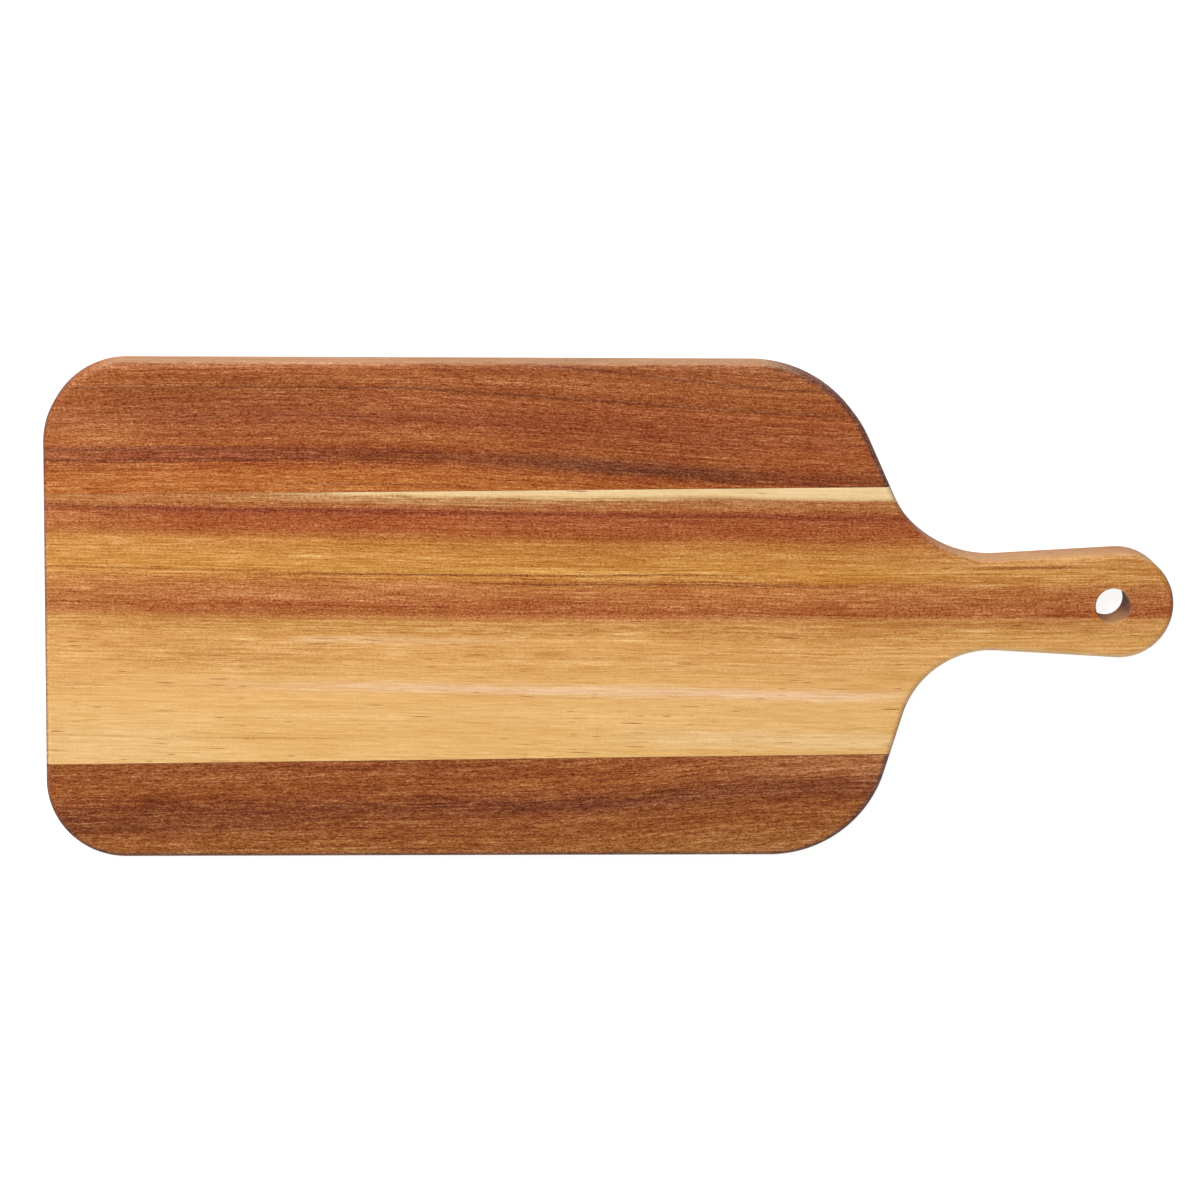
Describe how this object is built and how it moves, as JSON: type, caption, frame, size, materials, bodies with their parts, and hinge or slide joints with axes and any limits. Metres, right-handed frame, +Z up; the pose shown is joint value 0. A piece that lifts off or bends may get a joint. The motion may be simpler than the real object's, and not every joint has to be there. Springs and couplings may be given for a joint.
{
  "type": "paddle charcuterie board",
  "caption": "Acacia paddle serving board with edge-glued staves, ogee shoulders, rounded edges and a flared handle with a hanging hole.",
  "frame": {"origin": "on the underside, below the middle of the board's overall box", "axes": "+X along the length towards the handle, +Y across the width towards the dark reddish stave, +Z up out of the serving face"},
  "size_m": [0.432, 0.1914, 0.019],
  "materials": {
    "russet_acacia": "sanded and oiled, satin",
    "golden_acacia": "sanded and oiled, satin",
    "umber_acacia": "sanded and oiled, satin",
    "cured_glue": "cured wood glue, matt"
  },
  "bodies": {
    "root": {"upper_stave": "russet_acacia", "middle_stave": "golden_acacia", "lower_stave": "umber_acacia", "upper_glue_line": "cured_glue", "lower_glue_line": "cured_glue"}
  },
  "joints": []
}
